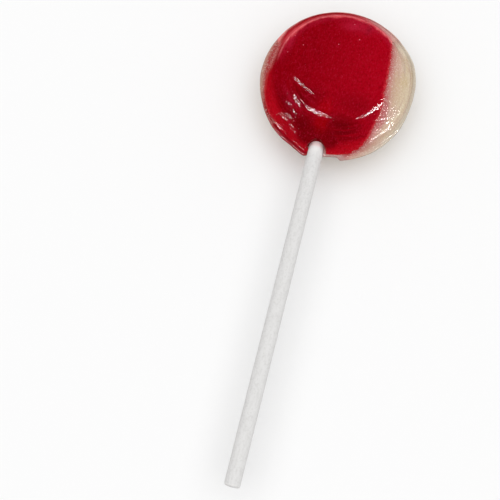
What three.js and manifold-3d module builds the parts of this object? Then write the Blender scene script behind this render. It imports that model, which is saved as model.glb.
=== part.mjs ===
// A two-colour boiled-sugar lollipop lying on its cream back, red face up.
// Millimetres, +Z up. The origin is the middle of the flat that it rests on,
// and the stick runs along -Y.

import * as THREE from 'three';
import { mergeVertices } from 'three/addons/utils/BufferGeometryUtils.js';
import Module from 'manifold-3d';

const wasm = await Module();
wasm.setup();

// Head: heights are measured from the parting plane of the two mould halves
const backDepth = 7.6;
const backFlatRadius = 10.9;
const frontRise = 7.75;
const frontCrown = 0.2;
const crownRadius = 7.7;
const crownRadiusRise = 0.14;
const frontFlatRadius = 12.9;
const creaseRadius = 16.65;
const frontCreaseRise = 4.8;
const backCreaseDepth = 4.5;
const wallBulgeRadius = 18.9;
const wallBulgeHeight = 2.8;
const wallBaseRadius = 20.1;

// The walls' base is a little oval, and set off to the right of the flats
const wallBaseSqueeze = 0.65;
const wallBaseShift = 0.3;

// Flash: the thin sheet of sugar pressed out between the mould halves
const flashThickness = 1.1;
const flashRadiusX = 20.1;
const flashRadiusY = 21.1;
const flashShiftX = -0.18;
const flashShiftY = -0.25;
const flashEdgeChamfer = 0.25;

// The flash's loose ends beside the stick, as places in the plan
const pointFromClock = 221.5;
const pointTip = new THREE.Vector2(-4.4, -21.75);
const pointInnerEnd = new THREE.Vector2(-3.6, -21.4);
const tongueEnd = new THREE.Vector2(0.9, -20.5);
const notchCorner = new THREE.Vector2(4.2, -19.95);
const flapFromClock = 165;

// Where red meets cream: a level seam over the flash that turns up steeply at the right
const seamHeight = 0.75;
const seamTurnX = 10.2;
const seamTopX = 12.1;
const redPointInnerRadius = 17.4;
const redPointFromClock = 183;
const redPointToClock = 221;
const redPointUndercut = 0.05;
const redPointOverlap = 0.95;

// Stick: rolled paper
const stickDiameter = 4.0;
const stickLength = 101.6;
const stickEndRounding = 0.35;
const stickOffsetX = -1.32;
const stickFreeEndY = -106.75;

// The dimple in the wall where the stick goes in
const dimpleDepth = 2.0;
const dimpleMouthRadius = 4.4;
const dimpleConeLength = 3.0;
const dimpleConeOverrun = 2.0;

const gap = 0.3;
const aroundSteps = 80;
const cornerSteps = 3;
const barSides = 24;
const sectorSteps = 24;
const mergeDistance = 1e-4;
const farOut = 30;

const stickRadius = stickDiameter / 2;
const boreRadius = stickRadius + gap;

const red = new THREE.MeshStandardMaterial({ color: '#980417', roughness: 0.22, metalness: 0 });
const cream = new THREE.MeshStandardMaterial({ color: '#cdb796', roughness: 0.3, metalness: 0 });
const paper = new THREE.MeshStandardMaterial({ color: '#e3e3e1', roughness: 0.85, metalness: 0 });

/** Turns a clock direction in the plan, seen from above, into an angle from +X. */
function clockToAngle(clock) {
  return THREE.MathUtils.degToRad(90 - clock);
}

/** Points along straight runs between corners [x, y, rounding], with each corner rounded off. */
function roundedPath(corners) {
  const path = new THREE.Path();
  const places = corners.map(([x, y]) => new THREE.Vector2(x, y));
  path.moveTo(places[0].x, places[0].y);
  for (let i = 1; i < places.length; i += 1) {
    const corner = places[i];
    const rounding = corners[i][2];
    if (!rounding) {
      path.lineTo(corner.x, corner.y);
      continue;
    }
    const before = places[i - 1].clone().sub(corner).setLength(rounding).add(corner);
    const after = places[i + 1].clone().sub(corner).setLength(rounding).add(corner);
    path.lineTo(before.x, before.y);
    path.quadraticCurveTo(corner.x, corner.y, after.x, after.y);
  }
  return path.getPoints(cornerSteps);
}

/** Makes a solid for cutting and joining from a closed geometry. */
function toSolid(geometry) {
  geometry.deleteAttribute('normal');
  geometry.deleteAttribute('uv');
  const merged = mergeVertices(geometry, mergeDistance);
  const triangles = [];
  for (let i = 0; i < merged.index.count; i += 3) {
    const [a, b, c] = [0, 1, 2].map((k) => merged.index.getX(i + k));
    if (a !== b && b !== c && c !== a) triangles.push(a, b, c);
  }
  return new wasm.Manifold(new wasm.Mesh({
    numProp: 3,
    vertProperties: new Float32Array(merged.attributes.position.array),
    triVerts: new Uint32Array(triangles),
  }));
}

/** Makes a named mesh from a finished solid. */
function toMesh(name, solid, material) {
  const { vertProperties, triVerts } = solid.getMesh();
  const geometry = new THREE.BufferGeometry();
  geometry.setAttribute('position', new THREE.BufferAttribute(vertProperties, 3));
  geometry.setIndex(new THREE.BufferAttribute(triVerts, 1));
  geometry.computeVertexNormals();
  const mesh = new THREE.Mesh(geometry, material);
  mesh.name = name;
  return mesh;
}

/** Squeezes and shifts what lies beyond the crease, most of all at the base of the walls. */
function makeWallsOval(geometry) {
  const position = geometry.attributes.position;
  const reach = wallBaseRadius - creaseRadius;
  for (let i = 0; i < position.count; i += 1) {
    const x = position.getX(i);
    const radius = Math.hypot(x, position.getY(i));
    const share = THREE.MathUtils.clamp((radius - creaseRadius) / reach, 0, 1);
    position.setX(i, x - share * (wallBaseSqueeze * (x / radius) - wallBaseShift));
  }
}

/** The pressed head without its flash: two shallow dishes, rim to rim, turned on the vertical axis. */
function headBlank() {
  const halfFlash = flashThickness / 2;
  const profile = roundedPath([
    [0, -backDepth],
    [backFlatRadius, -backDepth, 0.9],
    [creaseRadius, -backCreaseDepth, 0.4],
    [wallBulgeRadius, -wallBulgeHeight, 1.2],
    [wallBaseRadius, -halfFlash],
    [wallBaseRadius, halfFlash],
    [wallBulgeRadius, wallBulgeHeight, 1.2],
    [creaseRadius, frontCreaseRise, 0.4],
    [frontFlatRadius, frontRise, 0.9],
    [crownRadius, frontRise + crownRadiusRise],
    [0, frontRise + frontCrown],
  ]);
  const geometry = new THREE.LatheGeometry(profile, aroundSteps);
  geometry.rotateX(Math.PI / 2);
  makeWallsOval(geometry);
  return toSolid(geometry);
}

/** The flash: an oval sheet with a long point left of the stick, and a notch and a flap right of it. */
function flashSheet() {
  const entranceY = dimpleDepth - wallBaseRadius;
  const outline = new THREE.Shape();
  outline.moveTo(pointTip.x, pointTip.y);
  outline.lineTo(pointInnerEnd.x, pointInnerEnd.y);
  outline.lineTo(pointInnerEnd.x, entranceY);
  outline.lineTo(tongueEnd.x, entranceY);
  outline.lineTo(tongueEnd.x, tongueEnd.y);
  outline.lineTo(notchCorner.x, notchCorner.y);
  outline.absellipse(flashShiftX, flashShiftY, flashRadiusX, flashRadiusY,
    clockToAngle(flapFromClock), clockToAngle(pointFromClock) + 2 * Math.PI, false, 0);
  outline.closePath();
  const geometry = new THREE.ExtrudeGeometry(outline, {
    depth: flashThickness - 2 * flashEdgeChamfer,
    curveSegments: aroundSteps,
    bevelThickness: flashEdgeChamfer,
    bevelSize: flashEdgeChamfer,
    bevelOffset: -flashEdgeChamfer,
    bevelSegments: 1,
  });
  geometry.translate(0, 0, flashEdgeChamfer - flashThickness / 2);
  return toSolid(geometry);
}

/** A round bar along Y, widening from one radius to another. */
function barAlongY(fromY, fromRadius, toY, toRadius) {
  const geometry = new THREE.CylinderGeometry(toRadius, fromRadius, Math.abs(toY - fromY), barSides);
  if (toY < fromY) geometry.rotateX(Math.PI);
  geometry.translate(stickOffsetX, (fromY + toY) / 2, 0);
  return toSolid(geometry);
}

/** The hole that the sugar leaves for the stick. */
function stickBore() {
  const innerEndY = stickFreeEndY + stickLength + gap;
  return barAlongY(innerEndY, boreRadius, -farOut, boreRadius);
}

/** The cone-shaped dimple in the wall round the stick. */
function entranceDimple() {
  const mouthY = -wallBaseRadius;
  const slope = (dimpleMouthRadius - boreRadius) / dimpleConeLength;
  const outerRadius = dimpleMouthRadius + slope * dimpleConeOverrun;
  return barAlongY(mouthY + dimpleConeLength, boreRadius, mouthY - dimpleConeOverrun, outerRadius);
}

/** The space above the seam, grown by an offset on every side: the level part and its steep end. */
function aboveSeam(offset) {
  const lean = (seamTopX - seamTurnX) / (frontRise - seamHeight);
  const sideways = offset * Math.hypot(1, lean);
  const turnX = seamTurnX + sideways - lean * offset;
  const section = new THREE.Shape();
  section.moveTo(-farOut, seamHeight - offset);
  section.lineTo(turnX, seamHeight - offset);
  section.lineTo(turnX + lean * (farOut - seamHeight + offset), farOut);
  section.lineTo(-farOut, farOut);
  section.closePath();
  const geometry = new THREE.ExtrudeGeometry(section, { depth: 2 * farOut, bevelEnabled: false });
  geometry.rotateX(Math.PI / 2);
  geometry.translate(0, farOut, 0);
  return toSolid(geometry);
}

/** The sector of the rim where the flash is red right through, grown by an offset on every side. */
function redPointSector(offset) {
  const inner = redPointInnerRadius - offset;
  const turn = THREE.MathUtils.radToDeg(offset / inner);
  const first = clockToAngle(redPointFromClock - turn);
  const last = clockToAngle(redPointToClock + turn);
  const sector = new THREE.Shape();
  sector.absarc(0, 0, inner, first, last, true);
  sector.absarc(0, 0, farOut, last, first, false);
  sector.closePath();
  const bottom = -flashThickness / 2 - redPointUndercut - offset;
  const depth = seamHeight + redPointOverlap - bottom;
  const geometry = new THREE.ExtrudeGeometry(sector, {
    depth,
    bevelEnabled: false,
    curveSegments: sectorSteps,
  });
  geometry.translate(0, 0, bottom);
  return toSolid(geometry);
}

/** All the space that the red sugar fills, grown by an offset. */
function redSpace(offset) {
  return aboveSeam(offset).add(redPointSector(offset));
}

/** The paper stick, its ends slightly rounded, lying along -Y. */
function stickMesh() {
  const profile = roundedPath([
    [0, 0],
    [stickRadius, 0, stickEndRounding],
    [stickRadius, stickLength, stickEndRounding],
    [0, stickLength],
  ]);
  const geometry = new THREE.LatheGeometry(profile, barSides);
  const mesh = new THREE.Mesh(geometry, paper);
  mesh.name = 'stick';
  mesh.position.set(stickOffsetX, stickFreeEndY, 0);
  return mesh;
}

const sugar = headBlank().subtract(entranceDimple()).add(flashSheet()).subtract(stickBore());
const redSugar = sugar.intersect(redSpace(-gap / 2));
const creamSugar = sugar.subtract(redSpace(gap / 2));

// Everything is modelled about the parting plane, then raised so that the back's flat lies at zero
const lollipop = new THREE.Group();
lollipop.add(toMesh('red_candy', redSugar, red));
lollipop.add(toMesh('cream_candy', creamSugar, cream));
lollipop.add(stickMesh());
lollipop.position.z = backDepth;

export default lollipop;
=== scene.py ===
"""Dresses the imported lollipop: two colours of pressed boiled sugar on a rolled paper stick.

Lengths are millimetres and places are measured from the head's middle: z = 0 is the parting
plane of the two mould halves, the red face looks up along +Z and the stick runs along -Y.
A clock direction is in degrees, seen from above, with 0 along +Y and 90 along +X. A finished
mesh is scaled and raised into the frame's metres in its last step.
"""

import logging
import math
from dataclasses import dataclass, field
from enum import Enum
from functools import cached_property, partial, reduce
from typing import Callable, Optional, Sequence, Union

import bmesh
import bpy
import numpy as np
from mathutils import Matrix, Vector, noise


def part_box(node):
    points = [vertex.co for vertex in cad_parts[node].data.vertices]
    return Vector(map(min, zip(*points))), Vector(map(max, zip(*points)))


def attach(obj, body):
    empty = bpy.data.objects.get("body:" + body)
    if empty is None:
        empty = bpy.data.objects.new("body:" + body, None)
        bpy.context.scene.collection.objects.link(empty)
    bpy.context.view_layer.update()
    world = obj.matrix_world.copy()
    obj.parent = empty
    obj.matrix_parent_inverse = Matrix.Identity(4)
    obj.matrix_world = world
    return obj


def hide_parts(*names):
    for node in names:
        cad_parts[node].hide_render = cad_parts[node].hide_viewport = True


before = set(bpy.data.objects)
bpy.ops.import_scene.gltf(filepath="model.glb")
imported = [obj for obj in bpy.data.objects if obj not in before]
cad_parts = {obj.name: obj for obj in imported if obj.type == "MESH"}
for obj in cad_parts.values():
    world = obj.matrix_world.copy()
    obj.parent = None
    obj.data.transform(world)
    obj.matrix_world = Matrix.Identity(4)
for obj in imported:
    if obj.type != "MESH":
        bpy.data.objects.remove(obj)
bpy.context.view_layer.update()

log = logging.getLogger("lollipop")

MM = 0.001
BODY = "root"
STICK_LOW, STICK_HIGH = (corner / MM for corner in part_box("stick"))
STICK_X = (STICK_LOW.x + STICK_HIGH.x) / 2
STICK_RADIUS = (STICK_HIGH.x - STICK_LOW.x) / 2
PARTING_HEIGHT = (STICK_LOW.z + STICK_HIGH.z) / 2

# Points of a mesh closer than this become one
WELD = 1e-4
# How many edges round off a corner of a turned profile
ROUNDING_EDGES = 8
# At which radius a swirl's arcs are as long as on the head
ARC_RADIUS = 12.0
# How many readings round off a corner of a line
SOFTENING_READS = 5
# The share of a speck's radius within which it is full
SPECK_CORE = 0.2
# A Mix node numbers its sockets over all its data types, and these are the ones for colours
MIX_SHARE, MIX_UNDER, MIX_OVER, MIX_RESULT = 0, 6, 7, 2
# What each point of the sugar stores for its material
MARKS = ("seam_distance", "rim_share", "flash_share")

Number = Union[float, "Wire"]
Triple = tuple[float, float, float]
Colour = Triple


class Sugar(Enum):
    """One of the head's two sugars, with the name of its piece."""

    RED = "red_sugar"
    CREAM = "cream_sugar"


class Cut(Enum):
    """What a cut keeps of a mesh: the part inside the cutter or the part outside it."""

    INSIDE = "INTERSECT"
    OUTSIDE = "DIFFERENCE"


def ease(value: np.ndarray, low: float, high: float) -> np.ndarray:
    """Rises smoothly from 0 at low to 1 at high.

    Args:
        value: The numbers to ease.
        low: Where the rise starts.
        high: Where the rise ends.

    Returns:
        Numbers from 0 to 1.
    """
    share = np.clip((value - low) / (high - low), 0.0, 1.0)
    return share * share * (3 - 2 * share)


def within(clock: np.ndarray, start: float, end: float, soft: float) -> np.ndarray:
    """Tells how far clock directions lie inside a sector.

    Args:
        clock: Clock directions in degrees.
        start: Where the sector starts, going clockwise.
        end: Where the sector ends.
        soft: Half the width of the sector's soft edges, in degrees.

    Returns:
        1 inside the sector and 0 outside it, with soft edges.
    """
    middle = (start + end) / 2
    half = (end - start) / 2
    away = np.abs((clock - middle + 180) % 360 - 180)
    return 1 - ease(away, half - soft, half + soft)


def polar(x: np.ndarray, y: np.ndarray) -> tuple[np.ndarray, np.ndarray]:
    """Turns places in the plan into their radii and clock directions."""
    return np.hypot(x, y), np.degrees(np.arctan2(x, y)) % 360


def read_line(
    at: np.ndarray, soften: float, known: Sequence[float], values: Sequence[float],
    period: Optional[float] = None,
) -> np.ndarray:
    """Reads a line through known points, with its corners rounded off.

    Args:
        at: Where it is read.
        soften: How far a corner is rounded to each side.
        known: Where its points are.
        values: What it is worth there.
        period: After how far it comes round again, if it does.

    Returns:
        What it is worth at each reading.
    """
    offsets = np.linspace(-soften, soften, SOFTENING_READS)
    return np.mean([np.interp(at + offset, known, values, period=period) for offset in offsets], axis=0)


@dataclass(frozen=True)
class Outline:
    """A rim's radius all the way round, given at a few clock directions.

    Attributes:
        corners: Pairs of clock direction and radius, clockwise.
        soften: How far a corner is rounded to each side, in degrees.
    """

    corners: tuple[tuple[float, float], ...]
    soften: float = 0.8

    def radius(self, clock: np.ndarray) -> np.ndarray:
        """Gives the rim's radius in clock directions."""
        return read_line(clock, self.soften, *zip(*self.corners), period=360)


@dataclass(frozen=True)
class Fold:
    """A straight fold in the pressed sugar: a small step down that levels out again.

    Attributes:
        start: One end of the fold in the plan.
        end: Its other end. The step goes down on the right of the way from start to end.
        drop: How deep the step is.
        width: How wide the step's slope is.
        recovery: How far beyond the slope the surface takes to rise again.
        taper: The share of its length over which it fades at each end.
    """

    start: tuple[float, float]
    end: tuple[float, float]
    drop: float
    width: float
    recovery: float
    taper: float = 0.3

    def depth(self, x: np.ndarray, y: np.ndarray) -> np.ndarray:
        """Works out how far the fold lowers the surface.

        Args:
            x: Places along X.
            y: Places along Y.

        Returns:
            The drop at each place.
        """
        start = np.array(self.start)
        along = np.array(self.end) - start
        length = np.hypot(*along)
        along = along / length
        run = (x - start[0]) * along[0] + (y - start[1]) * along[1]
        across = (x - start[0]) * along[1] - (y - start[1]) * along[0]
        faded = ease(run, 0, self.taper * length) * (1 - ease(run, (1 - self.taper) * length, length))
        step = ease(across, 0, self.width) * (1 - ease(across, self.width, self.width + self.recovery))
        return self.drop * faded * step


@dataclass(frozen=True)
class Ripple:
    """Smooth unevenness over space.

    Attributes:
        height: About how far it reaches to each side.
        length: The rough distance between its bumps.
        seed: Moves its pattern, so that two patterns differ.
    """

    height: float
    length: float
    seed: float

    def at(self, points: np.ndarray) -> np.ndarray:
        """Gives one number from about minus its height to its height for each place."""
        shift = Vector((self.seed, 2 * self.seed, -self.seed))
        return self.height * np.array([noise.noise(Vector(point) / self.length + shift) for point in points])


def new_mesh_object(name: str, mesh: bpy.types.Mesh) -> bpy.types.Object:
    """Puts a mesh in the scene.

    Args:
        name: The object's name.
        mesh: Its mesh.

    Returns:
        The new object, at the origin.
    """
    made = bpy.data.objects.new(name, mesh)
    bpy.context.scene.collection.objects.link(made)
    return made


def to_mesh(name: str, bm: bmesh.types.BMesh) -> bpy.types.Mesh:
    """Turns a finished bmesh into a mesh and frees it.

    Args:
        name: The mesh's name.
        bm: The bmesh.

    Returns:
        The new mesh.
    """
    mesh = bpy.data.meshes.new(name)
    bm.to_mesh(mesh)
    bm.free()
    return mesh


def carve(mesh: bpy.types.Mesh, cutter: bpy.types.Mesh, cut: Cut) -> bpy.types.Mesh:
    """Cuts one closed mesh with another.

    Args:
        mesh: What is cut.
        cutter: What it is cut with.
        cut: Which part is kept.

    Returns:
        The cut mesh, as a new mesh.
    """
    blank = new_mesh_object("blank", mesh)
    tool = new_mesh_object("tool", cutter)
    modifier = blank.modifiers.new("cut", "BOOLEAN")
    modifier.object = tool
    modifier.operation = cut.value
    modifier.solver = "MANIFOLD"
    ready = blank.evaluated_get(bpy.context.evaluated_depsgraph_get())
    kept = bpy.data.meshes.new_from_object(ready)
    bpy.data.objects.remove(blank)
    bpy.data.objects.remove(tool)
    return kept


def turn_profile(corners: Sequence[tuple[float, ...]], step: float, around: int) -> bmesh.types.BMesh:
    """Turns a profile about the vertical axis into a closed body.

    Args:
        corners: The profile from axis to axis: radius, height and, where it is rounded, how much.
        step: The longest edge left along the profile.
        around: How many faces go round the axis.

    Returns:
        The body, its faces pointing outwards.
    """
    bm = bmesh.new()
    places = [bm.verts.new((corner[0], 0, corner[1])) for corner in corners]
    for first, second in zip(places, places[1:]):
        bm.edges.new((first, second))
    for place, corner in zip(places, corners):
        if len(corner) > 2:
            bmesh.ops.bevel(
                bm, geom=[place], offset=corner[2], offset_type="OFFSET", segments=ROUNDING_EDGES,
                profile=0.5, affect="VERTICES", material=-1,
            )
    for edge in list(bm.edges):
        cuts = math.ceil(edge.calc_length() / step) - 1
        if cuts > 0:
            bmesh.ops.subdivide_edges(bm, edges=[edge], cuts=cuts)
    bmesh.ops.spin(
        bm, geom=bm.verts[:] + bm.edges[:], cent=(0, 0, 0), axis=(0, 0, 1),
        angle=2 * math.pi, steps=around, use_merge=True, use_duplicate=False,
    )
    bmesh.ops.remove_doubles(bm, verts=bm.verts, dist=WELD)
    bmesh.ops.recalc_face_normals(bm, faces=bm.faces)
    return bm


def places_of(bm: bmesh.types.BMesh) -> np.ndarray:
    """Gives the places of a bmesh's vertices, one row each."""
    return np.array([vert.co[:] for vert in bm.verts])


def move_vertices(bm: bmesh.types.BMesh, places: np.ndarray) -> None:
    """Moves every vertex of a bmesh.

    Args:
        bm: The bmesh.
        places: Their new places, one row each.
    """
    for vert, place in zip(bm.verts, places):
        vert.co = place
    bm.normal_update()


def swell(bm: bmesh.types.BMesh, amount: Callable[[np.ndarray], np.ndarray]) -> None:
    """Moves every vertex of a bmesh straight out of its surface.

    Args:
        bm: The bmesh.
        amount: Turns the places, one row each, into how far each one moves.
    """
    normals = np.array([vert.normal[:] for vert in bm.verts])
    places = places_of(bm)
    move_vertices(bm, places + normals * amount(places)[:, None])


def lay_along_y(bm: bmesh.types.BMesh, x: float, y: float) -> None:
    """Lays an upright body along Y.

    Args:
        bm: The body.
        x: Where its axis comes to lie.
        y: Where what stood at height 0 comes to lie.
    """
    turn = Vector((0, 0, 1)).rotation_difference(Vector((0, 1, 0))).to_matrix()
    bmesh.ops.rotate(bm, verts=bm.verts, cent=(0, 0, 0), matrix=turn)
    bmesh.ops.translate(bm, verts=bm.verts, vec=(x, y, 0))


def into_frame(mesh: bpy.types.Mesh, crease_angle: float) -> None:
    """Scales and raises a finished mesh into the frame and shades it smoothly.

    Args:
        mesh: The mesh, in millimetres from the head's middle.
        crease_angle: Edges sharper than this many degrees stay crisp.
    """
    bm = bmesh.new()
    bm.from_mesh(mesh)
    bmesh.ops.dissolve_degenerate(bm, edges=bm.edges, dist=WELD)
    bmesh.ops.translate(bm, verts=bm.verts, vec=(0, 0, PARTING_HEIGHT))
    bmesh.ops.scale(bm, verts=bm.verts, vec=(MM, MM, MM))
    bm.to_mesh(mesh)
    bm.free()
    mesh.shade_smooth()
    mesh.set_sharp_from_angle(angle=math.radians(crease_angle))


def fit_out(piece: bpy.types.Object, material: bpy.types.Material, node: str) -> None:
    """Gives a piece its material and its place in the frame.

    Args:
        piece: The piece.
        material: Its material.
        node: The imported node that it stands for.
    """
    piece.data.materials.clear()
    piece.data.materials.append(material)
    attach(piece, BODY)
    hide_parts(node)


def paint(red: int, green: int, blue: int) -> Colour:
    """Turns a colour as seen on a screen, 0 to 255, into linear light."""
    shares = (channel / 255 for channel in (red, green, blue))
    return tuple(s / 12.92 if s <= 0.04045 else ((s + 0.055) / 1.055) ** 2.4 for s in shares)


@dataclass(frozen=True)
class Wire:
    """A node's output that takes part in Python arithmetic.

    Attributes:
        graph: The graph that the node is in.
        socket: The output.
    """

    graph: "Graph"
    socket: bpy.types.NodeSocket

    def __add__(self, other: Number) -> "Wire":
        """Adds."""
        return self.graph.math("ADD", self, other)

    __radd__ = __add__

    def __sub__(self, other: Number) -> "Wire":
        """Subtracts."""
        return self.graph.math("SUBTRACT", self, other)

    def __rsub__(self, other: Number) -> "Wire":
        """Is subtracted from a number."""
        return self.graph.math("SUBTRACT", other, self)

    def __mul__(self, other: Number) -> "Wire":
        """Multiplies."""
        return self.graph.math("MULTIPLY", self, other)

    __rmul__ = __mul__

    def __truediv__(self, other: Number) -> "Wire":
        """Divides."""
        return self.graph.math("DIVIDE", self, other)

    def __rtruediv__(self, other: Number) -> "Wire":
        """Divides a number."""
        return self.graph.math("DIVIDE", other, self)

    def __abs__(self) -> "Wire":
        """Drops the sign."""
        return self.graph.math("ABSOLUTE", self)

    def ease(self, low: float, high: float) -> "Wire":
        """Rises smoothly from 0 at low to 1 at high, or falls where high is the smaller.

        Args:
            low: Where it is 0.
            high: Where it is 1.

        Returns:
            A number from 0 to 1.
        """
        settings = {"interpolation_type": "SMOOTHSTEP", "clamp": True}
        inputs = {"Value": self, "From Min": low, "From Max": high, "To Min": 0.0, "To Max": 1.0}
        if low > high:
            inputs |= {"From Min": high, "From Max": low, "To Min": 1.0, "To Max": 0.0}
        return self.graph.out("ShaderNodeMapRange", settings, inputs)

    def sway(self, width: float) -> "Wire":
        """Turns a number from 0 to 1 into one that sways about 0, by half a width to each side."""
        return (self - 0.5) * width


@dataclass(frozen=True)
class Pattern:
    """Smooth unevenness of a material.

    Attributes:
        length: The rough distance between its bumps.
        detail: How many finer layers are added.
        stretch: How much finer it is along each axis.
        swirled: Whether its axes are the radius, the arc and the height, so that it runs in rings.
    """

    length: float
    detail: float
    stretch: Triple = (1.0, 1.0, 1.0)
    swirled: bool = False


@dataclass(frozen=True)
class Specks:
    """Small round specks, scattered at random.

    Attributes:
        spacing: The rough distance between places where a speck may be.
        size: A speck's radius.
        share: The share of the places that have one.
    """

    spacing: float
    size: float
    share: float


@dataclass(frozen=True)
class Spot:
    """A soft spot, full in its middle.

    Attributes:
        centre: Its middle.
        reach: How far it reaches along each axis.
        share: How strong it is there.
    """

    centre: Triple
    reach: Triple
    share: float = 1.0


class Graph:
    """The nodes of a material or of the world.

    Attributes:
        owner: The material or the world.
        tree: Its node tree.
        shader: The shader that it starts with.
    """

    def __init__(self, owner: bpy.types.ID, shader: str = "Principled BSDF") -> None:
        """Starts with a shader and its output alone.

        Args:
            owner: A new material or world.
            shader: The name of its shader.
        """
        owner.use_nodes = True
        self.owner = owner
        self.tree = owner.node_tree
        self.shader = self.tree.nodes[shader]

    def node(self, kind: str, settings: dict, inputs: dict) -> bpy.types.Node:
        """Adds a node.

        Args:
            kind: The node's type.
            settings: Its own properties, which are set first.
            inputs: Values or wires for its input sockets, by name or number.

        Returns:
            The node.
        """
        made = self.tree.nodes.new(kind)
        for name, value in settings.items():
            setattr(made, name, value)
        self.feed(made, inputs)
        return made

    def feed(self, node: bpy.types.Node, inputs: dict) -> None:
        """Sets or links a node's inputs.

        Args:
            node: The node.
            inputs: Values or wires, by the sockets' names or numbers.
        """
        for name, value in inputs.items():
            socket = node.inputs[name]
            if isinstance(value, Wire):
                self.tree.links.new(value.socket, socket)
            elif socket.type == "RGBA":
                socket.default_value = (*value, 1.0)
            else:
                socket.default_value = value

    def out(self, kind: str, settings: dict, inputs: dict, output: Union[str, int] = 0) -> Wire:
        """Adds a node and gives one of its outputs, by name or number."""
        return Wire(self, self.node(kind, settings, inputs).outputs[output])

    def math(self, operation: str, *values: Number) -> Wire:
        """Adds one step of arithmetic on numbers."""
        return self.out("ShaderNodeMath", {"operation": operation}, dict(enumerate(values)))

    def vector(self, operation: str, *values: Union[Triple, Wire], output: str = "Vector") -> Wire:
        """Adds one step of arithmetic on vectors."""
        return self.out("ShaderNodeVectorMath", {"operation": operation}, dict(enumerate(values)), output)

    def greatest(self, *values: Wire) -> Wire:
        """Gives the greatest of some numbers."""
        return reduce(partial(self.math, "MAXIMUM"), values)

    def axes(self, vector: Wire) -> tuple[Wire, ...]:
        """Splits a vector into its three numbers."""
        split = self.node("ShaderNodeSeparateXYZ", {}, {"Vector": vector})
        return tuple(Wire(self, output) for output in split.outputs)

    def bump(self, height: Wire, depth: float) -> Wire:
        """Turns a height into a surface normal, with 1 standing a depth in millimetres above 0."""
        return self.out("ShaderNodeBump", {}, {"Height": height, "Distance": depth * MM, "Strength": 1.0})


class PieceGraph(Graph):
    """The nodes of a piece's material, which lays its colours one over the other.

    Attributes:
        here: The place on the piece, in millimetres from the head's middle.
        x: That place along X.
        y: That place along Y.
        z: Its height.
        colour: The colour so far.
    """

    def __init__(self, name: str, ground: Colour) -> None:
        """Makes the material.

        Args:
            name: Its name.
            ground: The colour that the others are laid over.
        """
        super().__init__(bpy.data.materials.new(name))
        inputs = {
            "Vector": self.out("ShaderNodeTexCoord", {}, {}, "Object"),
            "Location": (0, 0, -PARTING_HEIGHT),
            "Scale": (1 / MM, 1 / MM, 1 / MM),
        }
        self.here = self.out("ShaderNodeMapping", {}, inputs)
        self.x, self.y, self.z = self.axes(self.here)
        self.colour: Union[Colour, Wire] = ground

    @cached_property
    def radius(self) -> Wire:
        """The place's distance from the head's axis."""
        return self.math("SQRT", self.x * self.x + self.y * self.y)

    @cached_property
    def swirl(self) -> Wire:
        """The place as its radius, the length of its arc and its height."""
        arc = self.math("ARCTAN2", self.x, self.y) * ARC_RADIUS
        return self.out("ShaderNodeCombineXYZ", {}, {"X": self.radius, "Y": arc, "Z": self.z})

    def noise(self, pattern: Pattern) -> Wire:
        """Spreads a pattern over the piece.

        Args:
            pattern: The pattern.

        Returns:
            A number from about 0.2 to 0.8.
        """
        place = self.swirl if pattern.swirled else self.here
        scaled = self.vector("MULTIPLY", place, pattern.stretch)
        inputs = {"Vector": scaled, "Scale": 1 / pattern.length, "Detail": pattern.detail}
        return self.out("ShaderNodeTexNoise", {}, inputs)

    def specks(self, specks: Specks) -> Wire:
        """Scatters specks over the piece.

        Args:
            specks: What they are like.

        Returns:
            1 on a speck and 0 beside it.
        """
        cells = self.node("ShaderNodeTexVoronoi", {}, {"Vector": self.here, "Scale": 1 / specks.spacing})
        chance = self.axes(Wire(self, cells.outputs["Color"]))[0]
        away = Wire(self, cells.outputs["Distance"])
        size = specks.size / specks.spacing
        return away.ease(size, SPECK_CORE * size) * self.math("LESS_THAN", chance, specks.share)

    def spot(self, spot: Spot) -> Wire:
        """Puts a spot on the piece.

        Args:
            spot: The spot.

        Returns:
            Its share in its middle, falling to 0 round it.
        """
        moved = self.vector("SUBTRACT", self.here, spot.centre)
        scaled = self.vector("MULTIPLY", moved, tuple(1 / length for length in spot.reach))
        return self.vector("LENGTH", scaled, output="Value").ease(1.0, 0.0) * spot.share

    def cover(self, share: Wire, colour: Colour) -> None:
        """Lays a share of a colour, from 0 to 1, over the colour so far."""
        settings = {"data_type": "RGBA", "clamp_factor": True}
        inputs = {MIX_SHARE: share, MIX_UNDER: self.colour, MIX_OVER: colour}
        self.colour = self.out("ShaderNodeMix", settings, inputs, MIX_RESULT)

    def complete(self, inputs: dict) -> bpy.types.Material:
        """Gives the shader its colour and its other inputs, and hands over the finished material."""
        self.feed(self.shader, {"Base Color": self.colour, **inputs})
        return self.owner


class SugarGraph(PieceGraph):
    """The nodes of a sugar's material.

    Attributes:
        seam: How far the place lies from the colour seam, above zero in the cream.
        rim: Its radius as a share of the rim's.
        flash: The share of the flash's width that it has crossed, below zero on the walls.
        cloud: Broad unevenness.
        grain: Fine unevenness.
    """

    def __init__(self, name: str, ground: Colour, clouds: Pattern, grains: Pattern) -> None:
        """Makes the material.

        Args:
            name: Its name.
            ground: The colour that the others are laid over.
            clouds: The sugar's broad unevenness.
            grains: Its fine unevenness.
        """
        super().__init__(name, ground)
        self.seam, self.rim, self.flash = (
            self.out("ShaderNodeAttribute", {"attribute_name": mark}, {}, "Fac") for mark in MARKS
        )
        self.cloud = self.noise(clouds)
        self.grain = self.noise(grains)


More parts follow.
